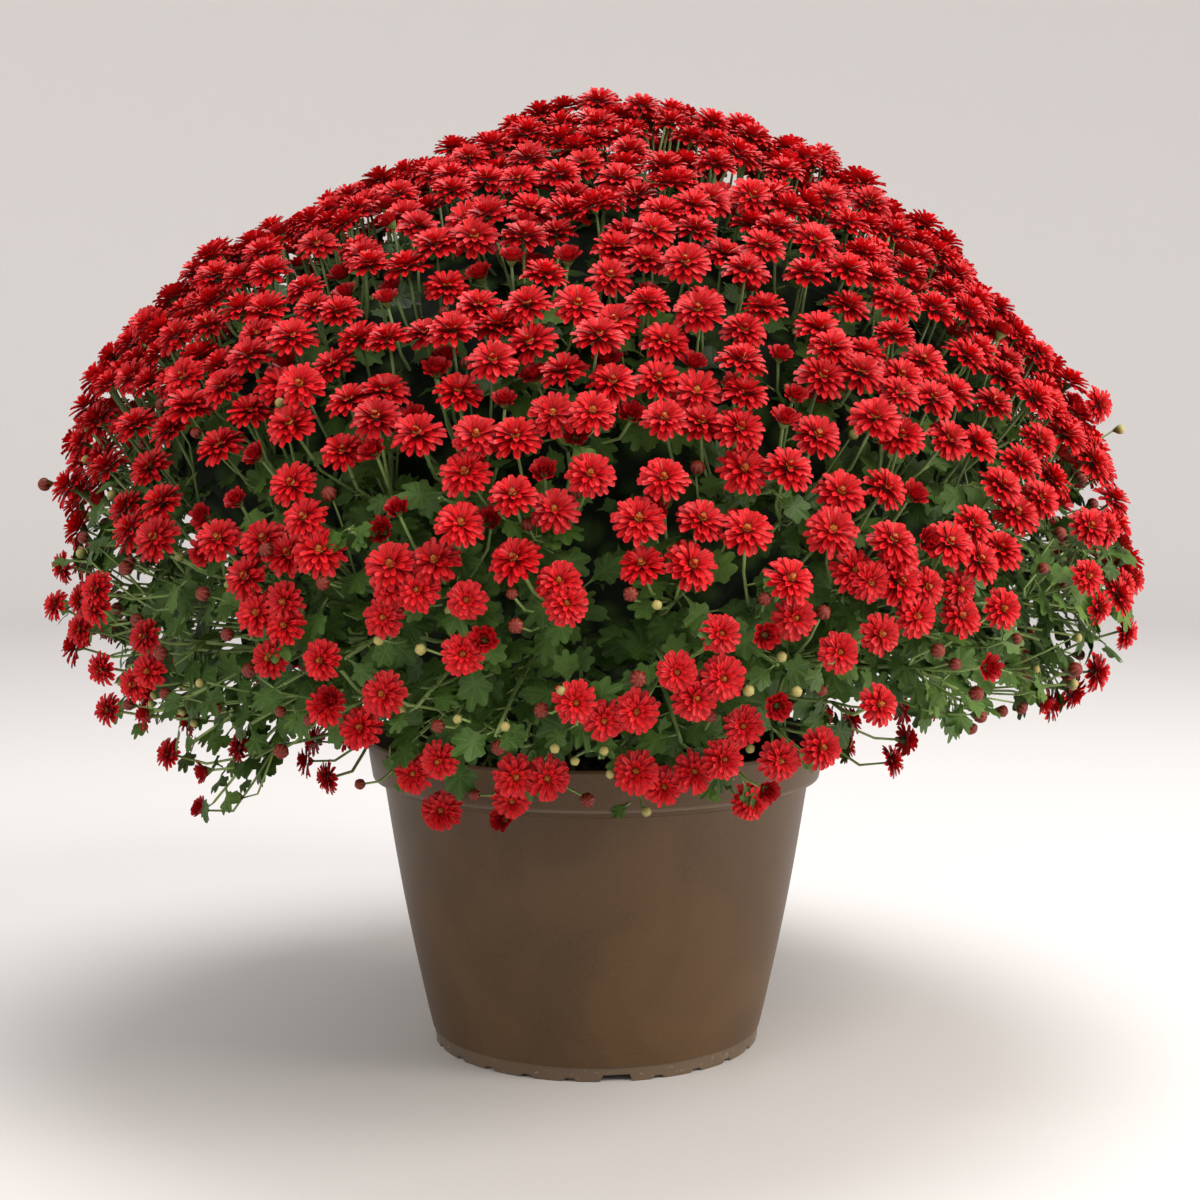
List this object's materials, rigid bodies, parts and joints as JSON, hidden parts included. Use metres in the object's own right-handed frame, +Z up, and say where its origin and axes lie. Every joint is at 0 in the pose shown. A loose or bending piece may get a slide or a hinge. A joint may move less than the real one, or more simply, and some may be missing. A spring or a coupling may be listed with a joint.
{
  "type": "potted chrysanthemum",
  "caption": "Garden mum in a brown nursery pot: a broad dome of scarlet double flowers over lobed green leaves, with short sprays over the rim.",
  "frame": {"origin": "on the table, at the middle of the plant's and the pot's footprint", "axes": "+Z up along the pot's axis; the pictured side faces -Y"},
  "size_m": [0.5811, 0.5771, 0.5238],
  "materials": {
    "pot_plastic": "matte",
    "potting_mix": "matte",
    "petals": "matte",
    "leaves": "matte"
  },
  "bodies": {
    "root": {"pot": "pot_plastic", "potting_soil": "potting_mix", "flower_spray_01": "petals", "flower_spray_02": "petals", "flower_spray_03": "petals", "flower_spray_04": "petals", "flower_spray_05": "petals", "flower_spray_06": "petals", "flower_spray_07": "petals", "flower_spray_08": "petals", "flower_spray_09": "petals", "flower_spray_10": "petals", "flower_spray_11": "petals", "flower_spray_12": "petals", "flower_spray_13": "petals", "flower_spray_14": "petals", "flower_spray_15": "petals", "flower_spray_16": "petals", "flower_spray_17": "petals", "flower_spray_18": "petals", "flower_spray_19": "petals", "flower_spray_20": "petals", "flower_spray_21": "petals", "flower_spray_22": "petals", "flower_spray_23": "petals", "flower_spray_24": "petals", "flower_spray_25": "petals", "flower_spray_26": "petals", "flower_spray_27": "petals", "flower_spray_28": "petals", "flower_spray_29": "petals", "flower_spray_30": "petals", "flower_spray_31": "petals", "flower_spray_32": "petals", "flower_spray_33": "petals", "flower_spray_34": "petals", "flower_spray_35": "petals", "flower_spray_36": "petals", "flower_spray_37": "petals", "flower_spray_38": "petals", "flower_spray_39": "petals", "flower_spray_40": "petals", "flower_spray_41": "petals", "flower_spray_42": "petals", "flower_spray_43": "petals", "flower_spray_44": "petals", "flower_spray_45": "petals", "flower_spray_46": "petals", "flower_spray_47": "petals", "flower_spray_48": "petals", "flower_spray_49": "petals", "leafy_branch_1": "leaves", "leafy_branch_2": "leaves", "leafy_branch_3": "leaves", "leafy_branch_4": "leaves", "leafy_branch_5": "leaves", "leafy_branch_6": "leaves", "leafy_branch_7": "leaves", "leafy_branch_8": "leaves"}
  },
  "joints": []
}
